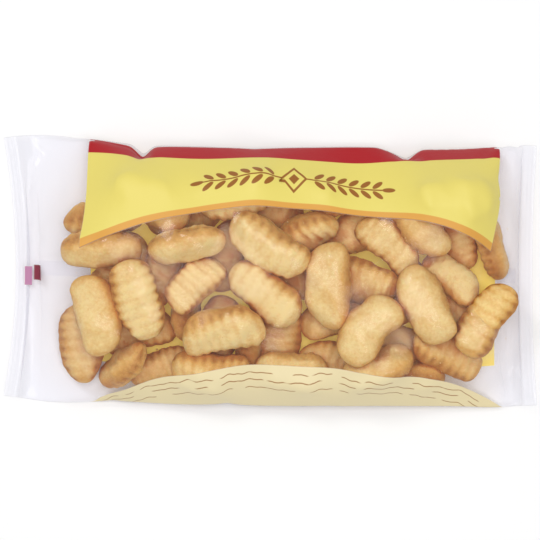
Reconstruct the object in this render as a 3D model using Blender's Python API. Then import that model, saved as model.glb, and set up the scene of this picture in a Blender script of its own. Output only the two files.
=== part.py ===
"""Clear pillow bag of madeleine cakes, sealed at both ends and lying on its back, as one closed solid.

The bag's own frame: origin in the middle of the underside, +X towards the right-hand seal, +Y towards the bag's
top edge and +Z up, out of the printed front. Lengths are in metres.
"""

import math

import bmesh
import bpy

# Driving dimensions of the bag
BAG_LENGTH = 0.427  # from cut edge to cut edge, at the corners
BAG_WIDTH = 0.220
BAG_DEPTH = 0.060
SEAL_WIDTH = 0.012  # of each crimped end
SEAL_THICKNESS = 0.0012
RIM_THICKNESS = 0.0010  # of the two films where they meet at a long fold

# How the filled bag draws its outline in
LEFT_BOW = 0.010  # how far the middle of each end is drawn in from its corners
RIGHT_BOW = 0.004

# Where the long folds lie: shares of the bag's half length and half width
TOP_FOLD = ((-1, 0.977), (-0.89, 1), (-0.70, 0.936), (-0.51, 0.895), (0, 0.886), (0.86, 0.886), (1, 0.915))
BOTTOM_FOLD = ((-1, -0.923), (-0.87, -0.955), (-0.66, -0.95), (-0.26, -0.995), (0.47, -1), (0.86, -1), (1, -0.991))

# Heights over the table at which the front and back films meet
TOP_FOLD_HEIGHT = 0.0085
BOTTOM_FOLD_HEIGHT = 0.0135
LEFT_SEAL_HEIGHT = 0.0075
RIGHT_SEAL_HEIGHT = 0.0110
SEAL_WAVE = 0.0012  # the end seals aren't quite straight
END_POWER = 6  # how late along the bag its folds turn to the height of the seals

# How far in from each edge the front film reaches the cakes' top, and how steeply it sets out
LEFT_RISE = (0.060, 1.6)
LEFT_SPREAD = 0.55  # how much further in the empty film at the left reaches for each metre up the bag
LEFT_SPREAD_FROM = 0.015
RIGHT_RISE = (0.040, 2.2)
TOP_RISE = (0.080, 3.2)
BOTTOM_RISE = (0.066, 3.2)
BACK_RISE = (0.018, 1.6)  # the back film comes down to the table this far in from every edge

# Crimp ridges of a seal, which run along the cut edge
RIDGES = 5
RIDGE_HEIGHT = 0.0005

# Folds that run in from the long edges: place along the bag, depth of the notch
TOP_PLEATS = ((-0.109, 0.0060), (-0.013, 0.0015), (0.107, 0.0065))
BOTTOM_PLEATS = ((-0.126, 0.0030), (-0.034, 0.0045), (0.045, 0.0015))
PLEAT_SPREAD = 0.008
PLEAT_REACH = 0.030

# One cake, and where those under the front film lie: place along, place up, heading in degrees
CAKE_LENGTH = 0.068
CAKE_WIDTH = 0.034
DIMPLE_SHARE = 0.13  # how far the film sags between the cakes, as a share of its rise
FRONT_CAKES = (
    (-0.133, 0.015, -5),
    (-0.139, -0.037, -68),
    (-0.107, -0.018, -66),
    (-0.064, 0.025, 8),
    (-0.066, -0.012, 45),
    (-0.039, -0.043, 25),
    (-0.004, 0.022, -35),
    (-0.006, -0.016, -42),
    (0.043, -0.013, -83),
    (0.065, 0.031, 20),
    (0.078, -0.001, -5),
    (0.076, -0.046, 55),
    (0.115, 0.028, -30),
    (0.123, -0.023, -60),
    (0.148, -0.007, -45),
    (0.171, -0.037, 40),
    (0.137, -0.077, -20),
    (-0.127, -0.082, 60),
    (-0.085, -0.074, 5),
    (-0.044, -0.072, 10),
    (0.010, -0.070, -25),
    (0.060, -0.080, 10),
    (0.155, 0.040, 60),
    (-0.150, 0.045, 15),
    (-0.095, 0.060, 0),
    (-0.020, 0.058, 15),
    (0.040, 0.060, -20),
    (0.100, 0.062, 5),
)

# Grid of the film: columns in each seal, in the pillow between them, and rows up the bag
SEAL_COLUMNS = 2 * RIDGES
PILLOW_COLUMNS = 58
ROWS = 28

FILM_COLOUR = (0.86, 0.72, 0.46, 1.0)
FILM_ROUGHNESS = 0.25


def clear_scene():
    for item in list(bpy.data.objects):
        bpy.data.objects.remove(item, do_unlink=True)


def pleat(along, pleats):
    """How far the folds in one long edge draw it in at this place along the bag."""
    return sum(depth * math.exp(-abs(along - place) / PLEAT_SPREAD) for place, depth in pleats)


def end_edges(up_share):
    """Cut edges of the left and right seals; up_share runs from -1 at the bottom fold to 1 at the top one."""
    drawn_in = 1 - up_share**2
    return -BAG_LENGTH / 2 + LEFT_BOW * drawn_in, BAG_LENGTH / 2 - RIGHT_BOW * drawn_in


def eased(places, share):
    """Value at this share along a curve that is level at each of its places."""
    for (low, value), (high, next_value) in zip(places, places[1:]):
        if share <= high:
            part = min(max((share - low) / (high - low), 0.0), 1.0)
            return value + (next_value - value) * part * part * (3 - 2 * part)
    return places[-1][1]


def long_folds(along):
    """How far up the bag its bottom and top folds lie at this place along it."""
    share = 2 * along / BAG_LENGTH
    bottom = BAG_WIDTH / 2 * eased(BOTTOM_FOLD, share) + pleat(along, BOTTOM_PLEATS)
    top = BAG_WIDTH / 2 * eased(TOP_FOLD, share) - pleat(along, TOP_PLEATS)
    return bottom, top


def plan_place(column, row):
    """Place along and up the bag of one grid point."""
    left, right = end_edges(2 * row / ROWS - 1)
    if column < SEAL_COLUMNS:
        along = left + SEAL_WIDTH * column / SEAL_COLUMNS
    elif column > SEAL_COLUMNS + PILLOW_COLUMNS:
        along = right - SEAL_WIDTH * (2 * SEAL_COLUMNS + PILLOW_COLUMNS - column) / SEAL_COLUMNS
    else:
        share = (column - SEAL_COLUMNS) / PILLOW_COLUMNS
        along = (left + SEAL_WIDTH) * (1 - share) + (right - SEAL_WIDTH) * share
    bottom, top = long_folds(along)
    return along, bottom + (top - bottom) * row / ROWS


def rise(distance, slope):
    """Share of its full height that the film has at this distance in from an edge."""
    reach, power = slope
    share = min(max(distance / reach, 0.0), 1.0)
    return 1 - (1 - share) ** power


def fill(along, up, slopes):
    """How full the bag is at a place, from 0 at its seals and folds to 1 where the film is level."""
    left, right = end_edges(2 * up / BAG_WIDTH)
    bottom, top = long_folds(along)
    left_slope, right_slope, top_slope, bottom_slope = slopes
    return (
        rise(along - left - SEAL_WIDTH, left_slope)
        * rise(right - SEAL_WIDTH - along, right_slope)
        * rise(top - up, top_slope)
        * rise(up - bottom, bottom_slope)
    )


def cake_under(along, up):
    """1 over a cake that lies under the front film, falling to 0 between the cakes."""
    nearest = math.inf
    for cake_along, cake_up, heading in FRONT_CAKES:
        turn = math.radians(heading)
        lengthwise = (along - cake_along) * math.cos(turn) + (up - cake_up) * math.sin(turn)
        across = (up - cake_up) * math.cos(turn) - (along - cake_along) * math.sin(turn)
        reach = (2 * lengthwise / CAKE_LENGTH) ** 2 + (2 * across / CAKE_WIDTH) ** 2
        nearest = min(nearest, reach)
    return 1 / (1 + nearest**2)


def parting_height(along, up):
    """Height at which the front and back films part."""
    end_share = abs(2 * along / BAG_LENGTH) ** END_POWER
    wave = SEAL_WAVE * math.sin(3 * math.pi * up / BAG_WIDTH)
    seal = (LEFT_SEAL_HEIGHT if along < 0 else RIGHT_SEAL_HEIGHT) + wave
    up_share = up / BAG_WIDTH + 0.5
    fold = BOTTOM_FOLD_HEIGHT + (TOP_FOLD_HEIGHT - BOTTOM_FOLD_HEIGHT) * up_share
    return fold + (seal - fold) * end_share


def fold_relief(along, up):
    """Hollow that the pleats press into the front film near a long edge."""
    from_edge = BAG_WIDTH / 2 - abs(up)
    return pleat(along, TOP_PLEATS if up > 0 else BOTTOM_PLEATS) * math.exp(-from_edge / PLEAT_REACH)


def film_point(column, row, side):
    """A point of the front film, side 1, or of the back film, side -1."""
    along, up = plan_place(column, row)
    parting = parting_height(along, up)
    in_seal = min(column, 2 * SEAL_COLUMNS + PILLOW_COLUMNS - column)
    if in_seal <= SEAL_COLUMNS:
        ridge = RIDGE_HEIGHT * math.sin(math.pi * (in_seal + 0.5))
        return along, up, parting + ridge + side * SEAL_THICKNESS / 2
    if side > 0:
        left_reach = LEFT_RISE[0] + LEFT_SPREAD * max(up - LEFT_SPREAD_FROM, 0.0)
        full = fill(along, up, ((left_reach, LEFT_RISE[1]), RIGHT_RISE, TOP_RISE, BOTTOM_RISE))
        sag = 1 - DIMPLE_SHARE * (1 - cake_under(along, up))
        height = parting + (BAG_DEPTH - parting) * full * sag
        return along, up, height - fold_relief(along, up) * full + RIM_THICKNESS / 2
    height = parting * (1 - fill(along, up, 4 * (BACK_RISE,))) - RIM_THICKNESS / 2
    return along, up, max(height, 0.0)


def film_material():
    made = bpy.data.materials.new("printed_clear_film")
    made.use_nodes = True
    shader = made.node_tree.nodes["Principled BSDF"]
    shader.inputs["Base Color"].default_value = FILM_COLOUR
    shader.inputs["Roughness"].default_value = FILM_ROUGHNESS
    shader.inputs["Metallic"].default_value = 0.0
    return made


def make_bag():
    """The filled bag: a grid doubled into a front and a back film, each point set on the bag's surface."""
    columns = 2 * SEAL_COLUMNS + PILLOW_COLUMNS
    bpy.ops.mesh.primitive_grid_add(x_subdivisions=columns, y_subdivisions=ROWS, size=2)
    bag = bpy.context.active_object
    bag.name = "bag"
    mesh = bmesh.new()
    mesh.from_mesh(bag.data)
    doubled = bmesh.ops.extrude_face_region(mesh, geom=mesh.faces[:])
    front = {item for item in doubled["geom"] if isinstance(item, bmesh.types.BMVert)}
    for vert in mesh.verts:
        column = round((vert.co.x + 1) / 2 * columns)
        row = round((vert.co.y + 1) / 2 * ROWS)
        vert.co = film_point(column, row, 1 if vert in front else -1)
    bmesh.ops.recalc_face_normals(mesh, faces=mesh.faces[:])
    mesh.to_mesh(bag.data)
    mesh.free()
    bag.data.shade_smooth()
    bag.data.materials.append(film_material())
    return bag


def main():
    clear_scene()
    home = bpy.data.collections.new("madeleine_bag")
    bpy.context.scene.collection.children.link(home)
    bag = make_bag()
    for holder in bag.users_collection:
        holder.objects.unlink(bag)
    home.objects.link(bag)


main()
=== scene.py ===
"""Clear pillow bag of madeleine cakes: the looks that go over its plain solid.

The cakes are laid one by one where they show, with more beneath them, and settle against each other. The bag is a flat
tube of clear film, sealed at both ends, that is then let down over them and creases as its own lengths make it.
"""

import math
import random

import bmesh
import bpy
import numpy as np
from bpy.props import FloatProperty, FloatVectorProperty, IntProperty, PointerProperty
from mathutils import Euler, Matrix, Vector
from mathutils.bvhtree import BVHTree


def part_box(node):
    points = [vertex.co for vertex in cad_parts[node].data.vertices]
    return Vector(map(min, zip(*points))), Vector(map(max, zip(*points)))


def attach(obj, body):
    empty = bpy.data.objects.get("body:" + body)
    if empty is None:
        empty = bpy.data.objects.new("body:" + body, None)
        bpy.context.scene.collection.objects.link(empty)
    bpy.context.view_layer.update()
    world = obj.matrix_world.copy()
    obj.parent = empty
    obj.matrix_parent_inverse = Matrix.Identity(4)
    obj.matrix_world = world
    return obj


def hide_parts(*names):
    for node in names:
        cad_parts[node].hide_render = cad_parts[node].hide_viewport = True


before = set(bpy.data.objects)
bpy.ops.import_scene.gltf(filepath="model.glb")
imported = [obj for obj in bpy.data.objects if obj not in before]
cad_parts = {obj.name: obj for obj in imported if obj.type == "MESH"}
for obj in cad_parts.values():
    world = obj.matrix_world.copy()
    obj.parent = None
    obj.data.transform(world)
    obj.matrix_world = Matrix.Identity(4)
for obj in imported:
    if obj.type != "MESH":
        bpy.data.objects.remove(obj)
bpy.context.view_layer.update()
BAG_LOW, BAG_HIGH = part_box("bag")
HALF_LENGTH = (BAG_HIGH[0] - BAG_LOW[0]) / 2
HALF_WIDTH = (BAG_HIGH[1] - BAG_LOW[1]) / 2
DEPTH = BAG_HIGH[2] - BAG_LOW[2]

bl_info = {
    "name": "Bag of Madeleines",
    "version": (1, 0, 0),
    "blender": (4, 5, 0),
    "location": "3D View > Sidebar > Madeleines",
    "description": "Makes the cakes, clear film, print and seals of a pillow bag of madeleines",
    "category": "Object",
}

# The cakes that show, each as: place along and up the bag as shares of its half length and half width, heading and
# roll in degrees, share of the usual size, the layer that it starts in, and how well it is baked, from -1 to 1. Roll
# 0 has the ribbed side up, 180 the smooth dome, and 90 lays the cake on its side.
SHOWN_CAKES = (
    (-0.640, 0.072, -4, 224, 0.95, 2, 0.3),
    (-0.500, -0.134, -74, 14, 1.00, 2, -0.1),
    (-0.643, -0.318, -72, 194, 0.95, 2, -0.1),
    (-0.645, -0.512, -78, 8, 0.98, 0, 0.3),
    (-0.555, -0.735, 60, 100, 0.80, 0, 0.6),
    (-0.440, -0.780, 8, 150, 0.80, 0, 0.0),
    (-0.458, -0.545, 34, 20, 0.86, 0, 1.0),
    (-0.285, 0.222, 7, 212, 0.95, 2, -0.4),
    (-0.285, -0.120, 44, 15, 0.82, 1, -0.3),
    (-0.150, -0.385, 24, 12, 1.00, 2, -0.4),
    (-0.020, 0.178, -36, 10, 1.05, 2, -0.3),
    (-0.030, -0.170, -40, -10, 1.00, 2, -0.8),
    (0.212, -0.126, -83, 183, 1.04, 2, -0.2),
    (-0.030, -0.560, -84, 60, 0.78, 1, 0.3),
    (0.110, -0.520, 84, 20, 0.86, 0, 0.9),
    (-0.215, -0.790, 8, 40, 0.92, 1, 0.6),
    (0.081, -0.760, -5, 170, 0.90, 1, -0.1),
    (0.362, -0.425, 52, 170, 0.94, 2, -0.2),
    (0.473, -0.610, -62, 165, 0.84, 0, 0.2),
    (0.403, -0.705, 15, 120, 0.88, 1, 0.3),
    (0.605, -0.675, -30, 8, 0.89, 1, 0.8),
    (0.504, -0.800, -14, 80, 0.86, 0, 0.3),
    (0.822, -0.350, 48, -8, 0.94, 2, 0.6),
    (0.672, -0.085, -46, 188, 0.79, 1, -0.6),
    (0.572, -0.255, -63, 206, 0.98, 2, 0.0),
    (0.373, -0.105, -4, 30, 0.92, 1, 0.6),
    (0.345, 0.300, 28, 170, 0.90, 1, 0.0),
    (0.540, 0.270, -58, 170, 0.86, 1, 0.2),
    (0.433, 0.139, -50, 20, 0.90, 1, 0.3),
    (0.700, 0.220, -70, 20, 0.85, 0, 0.6),
    (0.745, 0.150, -66, 60, 0.84, 0, 0.5),
    (0.111, 0.335, 30, 10, 0.92, 1, 0.2),
    (-0.655, 0.365, 2, 60, 0.98, 1, 0.7),
    (-0.433, 0.473, -30, 180, 1.00, 2, 0.0),
    (-0.121, 0.502, 15, 20, 0.98, 2, 0.0),
    (0.141, 0.571, -18, 170, 0.98, 1, 0.0),
    (0.665, 0.463, 5, 10, 0.96, 2, 0.0),
)
# The cakes under them, which only show in the gaps
HIDDEN_CAKES = (
    (-0.600, -0.020, 60, 30, 0.95, 0, 0.5),
    (-0.363, 0.355, 5, 20, 0.98, 0, 0.5),
    (-0.262, -0.431, 65, 10, 0.95, 0, 0.7),
    (-0.050, 0.335, -10, 175, 0.98, 0, 0.5),
    (0.020, -0.100, 12, 180, 0.95, 0, 0.6),
    (0.302, -0.293, 20, 180, 0.95, 0, 0.6),
    (0.463, 0.375, 60, 20, 0.95, 0, 0.5),
    (0.644, -0.332, 15, 10, 0.95, 0, 0.6),
    (0.222, -0.666, -20, 20, 0.95, 0, 0.4),
    (-0.400, 0.058, 65, 20, 0.90, 0, 0.9),
    (-0.155, 0.085, 75, 170, 0.90, 0, 0.9),
    (0.437, -0.215, 70, 15, 0.88, 0, 0.9),
    (-0.378, -0.300, 80, 20, 0.88, 0, 0.9),
)
LAYER_HEIGHTS = (0.0150, 0.0300, 0.0455)
FILM_CLEARANCE = 0.0012
CAKE_REST = 0.0010  # a cake's underside is pressed flat at this height over the table


class CakeSettings(bpy.types.PropertyGroup):
    """Size and colours of the madeleines."""

    length: FloatProperty(name="Length", description="Length of one cake", default=0.0665, unit="LENGTH")
    width: FloatProperty(name="Width", description="Width of one cake at its rim", default=0.0338, unit="LENGTH")
    mould_depth: FloatProperty(
        name="Mould depth", description="Height of the ribbed side", default=0.0125, unit="LENGTH"
    )
    dome_height: FloatProperty(
        name="Dome height", description="Height of the risen side", default=0.0130, unit="LENGTH"
    )
    rib_count: IntProperty(name="Ribs", description="Ribs across one cake", default=8)
    rib_depth: FloatProperty(
        name="Rib depth", description="Depth of the grooves at the rim", default=0.0025, unit="LENGTH"
    )
    crumbs: IntProperty(name="Crumbs", description="Loose crumbs in the bag", default=220)
    clinging_crumbs: IntProperty(name="Clinging crumbs", description="Crumbs that cling to the film", default=90)
    unevenness: FloatProperty(
        name="Unevenness", description="Share by which cakes differ in size", default=0.06, subtype="FACTOR"
    )
    pale_colour: FloatVectorProperty(
        name="Pale crust", description="Lightest part of the crust", default=(0.88, 0.665, 0.295), subtype="COLOR"
    )
    golden_colour: FloatVectorProperty(
        name="Golden crust", description="Most of the crust", default=(0.73, 0.415, 0.112), subtype="COLOR"
    )
    brown_colour: FloatVectorProperty(
        name="Brown crust", description="Best-baked part of the crust", default=(0.48, 0.195, 0.038), subtype="COLOR"
    )
    # Painted shade: the crust is darkened towards this colour in the nooks between cakes and on the cakes under the
    # others
    painted_shade_colour: FloatVectorProperty(
        name="Nook crust", description="Crust in the nooks between cakes", default=(0.61, 0.225, 0.052), subtype="COLOR"
    )


def settings(name):
    return getattr(bpy.context.scene, name)


def smooth_step(low, high, value):
    share = np.clip((value - low) / (high - low), 0.0, 1.0)
    return share * share * (3 - 2 * share)


class Cake:
    """One madeleine: where it lies and how it differs from the usual one."""

    def __init__(self, laid, index):
        sizes = settings("madeleine_cakes")
        draw = random.Random(index)
        along, up, heading, roll, size, layer, baked = laid
        spread = sizes.unevenness
        self.index = index
        self.layer = layer
        self.length = sizes.length * size * (1 + draw.uniform(-spread, spread) / 2)
        self.width = sizes.width * size * (1 + draw.uniform(-spread, spread))
        self.mould_depth = sizes.mould_depth * size * (1 + draw.uniform(-spread, spread))
        self.dome_height = sizes.dome_height * size * (1 + draw.uniform(-spread, 2 * spread))
        self.bend = draw.uniform(-0.0022, 0.0022)
        self.taper = draw.uniform(-0.12, 0.12)
        self.bluntness = draw.uniform(3.2, 5.2)
        self.twist = draw.uniform(-0.16, 0.16)
        self.tone = baked + draw.uniform(-0.3, 0.3)
        self.rib_shift = draw.uniform(-0.6, 0.6)
        self.rib_share = draw.uniform(0.55, 1.15)
        self.centre = np.array((along * HALF_LENGTH, up * HALF_WIDTH, LAYER_HEIGHTS[layer]))
        tip = math.radians(draw.uniform(-6, 6))
        turn = Matrix.Rotation(math.radians(heading), 3, "Z") @ Euler((math.radians(roll), tip, 0)).to_matrix()
        self.turn = np.array(turn)

    def half_width(self, share):
        return self.width / 2 * (1 + self.taper * share) * (1 - np.abs(share) ** self.bluntness) ** 0.49

    def mould(self, share):
        return self.mould_depth * np.sqrt(1 - np.abs(share) ** 3.6)

    def dome(self, share):
        return self.dome_height * (1 - np.abs(share) ** 2.9) ** 0.52

    def surface(self, stations, spokes):
        """Points of the crust, one ring of spokes for each station, and what the crust's colour needs to know."""
        sizes = settings("madeleine_cakes")
        draw = np.random.default_rng(self.index)
        share = np.sin(np.linspace(-math.pi / 2, math.pi / 2, stations))[:, None]
        angle = np.linspace(0, 2 * math.pi, spokes, endpoint=False)[None, :]
        side, rise = np.cos(angle), np.sin(angle)
        ribbed = smooth_step(-0.04, 0.16, rise)
        turns = math.pi / 2 * sizes.rib_count * share * (1 + 0.05 * np.abs(side)) + self.rib_shift
        turns = turns + 0.35 * np.sin(3.1 * share + 5 * self.bend / 0.0022) + 0.25 * np.sin(2.3 * side + self.tone)
        wave = np.abs(np.cos(turns))
        groove = (1 - np.sqrt(wave**2 + 0.05)) * ribbed * (1 - smooth_step(0.88, 0.99, np.abs(share)))
        rim = np.exp(-(((rise - 0.04) / 0.16) ** 2))
        edge = np.exp(-(((rise - 0.08) / np.where(rise > 0.08, 0.62, 0.70)) ** 2))
        edge = np.maximum(edge, 0.8 * smooth_step(0.62, 1.0, np.abs(share)) * (1 - 0.5 * np.abs(rise)))
        depth = sizes.rib_depth * self.rib_share * (1 - 0.76 * np.clip(rise, 0, 1) ** 0.8) * groove
        height = np.where(rise > 0, self.mould(share), self.dome(share))
        across = self.half_width(share) + 0.0008 * rim * np.sqrt(1 - share**2)
        boxy = np.sign(side) * np.abs(side) ** np.where(rise > 0, 0.72, 0.78)
        points = np.stack(
            (
                share * self.length / 2 * (1 + 0 * angle),
                (across - depth) * boxy + self.bend * (share**2 * 3 - 1),
                (height - depth) * np.sign(rise) * np.abs(rise) ** np.where(rise > 0, 0.88, 0.80),
            ),
            axis=2,
        )
        lumps = np.zeros(points.shape[:2])
        for size, pitch in ((0.0015, 0.036), (0.0007, 0.016), (0.00026, 0.006), (0.00012, 0.0030)):
            for _ in range(4):
                direction = draw.normal(size=3)
                direction *= 2 * math.pi / pitch / np.linalg.norm(direction)
                lumps += size / 2 * np.sin(points @ direction + draw.uniform(0, 2 * math.pi))
        outward = np.stack((0.3 * share + 0 * angle, side + 0 * share, rise + 0 * share), axis=2)
        points += outward * (lumps * np.sqrt(1 - 0.9 * share**2))[..., None]
        lean = self.twist * share
        across_now, up_now = points[..., 1].copy(), points[..., 2].copy()
        points[..., 1] = across_now * np.cos(lean) - up_now * np.sin(lean)
        points[..., 2] = across_now * np.sin(lean) + up_now * np.cos(lean)
        marks = {
            "ribbed": ribbed + 0 * share,
            "groove": groove * (0.22 + 0.78 * edge),
            "edge": edge + 0 * share,
            "tone": np.full(points.shape[:2], self.tone),
        }
        points = points @ self.turn.T + self.centre
        points[..., 2] = np.maximum(points[..., 2], CAKE_REST)
        return points, marks

    def balls(self):
        """Centres, in the cake's own frame, and radii of the balls that stand for it while it settles."""
        centres, radii = [], []
        for share in (-0.72, -0.4, 0.0, 0.4, 0.72):
            radius = (self.mould(share) + self.dome(share)) / 2 - 0.0002
            side = max(self.half_width(share) - radius, 0.0)
            for lateral in (-side, side):
                centres.append((share * self.length / 2, lateral, (self.mould(share) - self.dome(share)) / 2))
                radii.append(radius)
        return np.array(centres), np.array(radii)



BALLS_PER_CAKE = 10
HEAP_LOW = np.array((-0.775 * HALF_LENGTH, -0.87 * HALF_WIDTH, FILM_CLEARANCE))
HEAP_HIGH = np.array((0.910 * HALF_LENGTH, 0.72 * HALF_WIDTH, DEPTH - FILM_CLEARANCE))
SHOULDER = 0.030  # how far in from the heap's edge its top is reached
SHOULDER_DROP = 0.018
SETTLE_ROUNDS = 600
NEIGHBOUR_ROUNDS = 15  # the list of balls that may touch is made anew after this many rounds
NEIGHBOUR_REACH = 0.008
TURN_HOLD = 4.0
LAYER_HOLDS = (0.008, 0.035, 0.11)
HOLD_SHARES = np.array((1.0, 1.0, 0.5))  # a cake is held less firmly to its layer than to its place


def roof_height(places):
    """Highest that a cake may reach at a place, where the film comes down towards the bag's edges."""
    low = places[:, :2] - HEAP_LOW[:2]
    high = HEAP_HIGH[:2] - places[:, :2]
    inward = np.minimum(low, high).min(axis=1)
    share = np.clip(inward / SHOULDER, 0.0, 1.0)
    return HEAP_HIGH[2] - SHOULDER_DROP * (1 - share) ** 2


def may_touch(balls, radius, owner):
    """Pairs of balls of different cakes that are close enough to touch soon."""
    square = (balls**2).sum(axis=1)
    apart = np.sqrt(np.maximum(square[:, None] + square[None, :] - 2 * balls @ balls.T, 0.0))
    near = apart < radius[:, None] + radius[None, :] + NEIGHBOUR_REACH
    near &= owner[:, None] < owner[None, :]
    return np.nonzero(near)


def add_up(values, places, count):
    """Sum of the vectors that belong to each place."""
    return np.stack([np.bincount(places, values[:, axis], minlength=count) for axis in range(3)], axis=1)


def settle(cakes):
    """Press the cakes down and apart until none cuts into another, keeping each near where it was laid."""
    parts = [cake.balls() for cake in cakes]
    local = np.array([centres for centres, _ in parts])
    radius = np.concatenate([radii for _, radii in parts])
    middle = local.mean(axis=1)
    centre = np.array([cake.centre for cake in cakes])
    turn = np.array([cake.turn for cake in cakes])
    owner = np.repeat(np.arange(len(cakes)), BALLS_PER_CAKE)
    home = centre.copy()
    first_turn = turn.copy()
    hold = np.array([LAYER_HOLDS[cake.layer] for cake in cakes])[:, None]
    for step in range(SETTLE_ROUNDS):
        done = step / SETTLE_ROUNDS
        balls = (centre[:, None] + np.einsum("nij,nbj->nbi", turn, local)).reshape(-1, 3)
        balls[:, 2] -= 0.0003 * (1 - done)
        if step % NEIGHBOUR_ROUNDS == 0:
            first, second = may_touch(balls, radius, owner)
            reach = radius[first] + radius[second]
        gap = balls[first] - balls[second]
        distance = np.sqrt((gap**2).sum(axis=1)) + 1e-9
        overlap = np.maximum(reach - distance, 0.0)
        push = gap * (overlap / distance / 2)[:, None]
        touches = np.bincount(first, overlap > 0, len(balls)) + np.bincount(second, overlap > 0, len(balls))
        push = add_up(push, first, len(balls)) - add_up(push, second, len(balls))
        balls += push / np.sqrt(np.maximum(touches, 1))[:, None]
        balls = np.maximum(balls, HEAP_LOW + radius[:, None])
        balls[:, :2] = np.minimum(balls[:, :2], (HEAP_HIGH - radius[:, None])[:, :2])
        slack = 0.02 * max(0.0, 1 - 2 * done)
        balls[:, 2] = np.minimum(balls[:, 2], roof_height(balls) - radius + slack)
        balls = balls.reshape(len(cakes), BALLS_PER_CAKE, 3)
        now = balls.mean(axis=1)
        laid = np.einsum("nij,nbj->nbi", first_turn, local - middle[:, None])
        offsets = balls - now[:, None]
        offsets += (TURN_HOLD * hold[:, None]) * (laid - offsets) * (1 - done)
        lean = np.einsum("nbi,nbj->nij", offsets, local - middle[:, None])
        left, _, right = np.linalg.svd(lean)
        left[:, :, 2] *= np.sign(np.linalg.det(left @ right))[:, None]
        turn = left @ right
        centre = now - np.einsum("nij,nj->ni", turn, middle)
        centre += hold * HOLD_SHARES * (home - centre) * (1 - done)
    for cake, place, pose in zip(cakes, centre, turn):
        cake.centre = place
        cake.turn = pose
    return overlap.max()


CAKE_PIECES = ("ribs_up_cakes", "dome_up_cakes", "side_cakes")
CAKE_STATIONS = 88
CAKE_SPOKES = 44


def ring_faces(rings, spokes):
    """Quads between neighbouring rings of points."""
    ring, spoke = np.meshgrid(np.arange(rings - 1), np.arange(spokes), indexing="ij")
    after = (spoke + 1) % spokes
    quads = np.stack(
        (ring * spokes + spoke, ring * spokes + after, (ring + 1) * spokes + after, (ring + 1) * spokes + spoke),
        axis=2,
    )
    return quads.reshape(-1, 4)


def new_piece(name, points, faces, marks):
    """A smooth mesh object with one number at each point for each mark."""
    mesh = bpy.data.meshes.new(name)
    mesh.from_pydata(points.tolist(), [], [list(map(int, face)) for face in faces])
    for mark, values in marks.items():
        mesh.attributes.new(mark, "FLOAT", "POINT").data.foreach_set("value", np.asarray(values, "f").ravel())
    mesh.validate()
    mesh.shade_smooth()
    piece = bpy.data.objects.new(name, mesh)
    bpy.context.scene.collection.objects.link(piece)
    return piece


def join_cakes(name, cakes):
    """One mesh of several cakes, each a closed body with a point at either end."""
    points, faces, marks, start = [], [], {}, 0
    rings = CAKE_STATIONS - 2
    for cake in cakes:
        crust, crust_marks = cake.surface(CAKE_STATIONS, CAKE_SPOKES)
        inner = crust[1:-1].reshape(-1, 3)
        tips = crust[[0, -1]].mean(axis=1)
        points.append(np.concatenate((inner, tips)))
        for mark, values in crust_marks.items():
            ends = values[[0, -1]].mean(axis=1)
            marks.setdefault(mark, []).append(np.concatenate((values[1:-1].ravel(), ends)))
        faces.extend((ring_faces(rings, CAKE_SPOKES) + start).tolist())
        first_tip = start + rings * CAKE_SPOKES
        last_ring = start + (rings - 1) * CAKE_SPOKES
        for spoke in range(CAKE_SPOKES):
            after = (spoke + 1) % CAKE_SPOKES
            faces.append((first_tip, start + after, start + spoke))
            faces.append((first_tip + 1, last_ring + spoke, last_ring + after))
        start = first_tip + 2
    return new_piece(name, np.concatenate(points), faces, {k: np.concatenate(v) for k, v in marks.items()})



class FilmSettings(bpy.types.PropertyGroup):
    """Cut size and finish of the clear film."""

    flat_length: FloatProperty(
        name="Flat length", description="Length of the flat tube of film", default=0.440, unit="LENGTH"
    )
    flat_width: FloatProperty(
        name="Flat width", description="Width of the flat tube of film", default=0.2215, unit="LENGTH"
    )
    seal_gather: FloatProperty(
        name="Seal gather", description="Share by which the seals are drawn narrower", default=0.05, subtype="FACTOR"
    )
    seal_width: FloatProperty(
        name="Seal width", description="Width of each crimped end", default=0.012, unit="LENGTH"
    )
    ridge_height: FloatProperty(
        name="Ridge height", description="Height of the crimped ridges", default=0.00035, unit="LENGTH"
    )
    ridges: IntProperty(name="Ridges", description="Crimped ridges across each seal", default=4)
    haze: FloatProperty(name="Haze", description="How milky the clear film is", default=0.008, subtype="FACTOR")


class SolidField:
    """Distance to the heap at the points of a regular grid, to keep the film off the cakes."""

    CELL = 0.0035
    MARGIN = 0.014

    def __init__(self, tree, low, high):
        self.low = np.array(low) - self.MARGIN
        counts = np.ceil((np.array(high) + self.MARGIN - self.low) / self.CELL).astype(int) + 1
        distance = np.empty(tuple(counts))
        for place in np.ndindex(*counts):
            point = Vector(self.low + np.array(place) * self.CELL)
            nearest, normal, _, apart = tree.find_nearest(point)
            distance[place] = math.copysign(apart, (point - nearest).dot(normal))
        slope = np.stack(np.gradient(distance, self.CELL), axis=-1)
        self.values = np.concatenate((distance[..., None], slope), axis=-1).reshape(-1, 4)
        self.counts = counts
        self.strides = np.array((counts[1] * counts[2], counts[2], 1))

    def look_up(self, points):
        """Distance and outward direction at each point, interpolated between grid points."""
        place = np.clip((points - self.low) / self.CELL, 0, self.counts - 1.001)
        whole = place.astype(int)
        part = place - whole
        first = whole @ self.strides
        found = np.zeros((*points.shape[:-1], 4))
        for corner in np.ndindex(2, 2, 2):
            weight = np.ones(points.shape[:-1])
            for axis in range(3):
                weight = weight * (part[..., axis] if corner[axis] else 1 - part[..., axis])
            found += weight[..., None] * self.values.take(first + int(self.strides @ corner), axis=0)
        outward = found[..., 1:]
        return found[..., 0], outward / (np.linalg.norm(outward, axis=-1, keepdims=True) + 1e-9)


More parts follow.
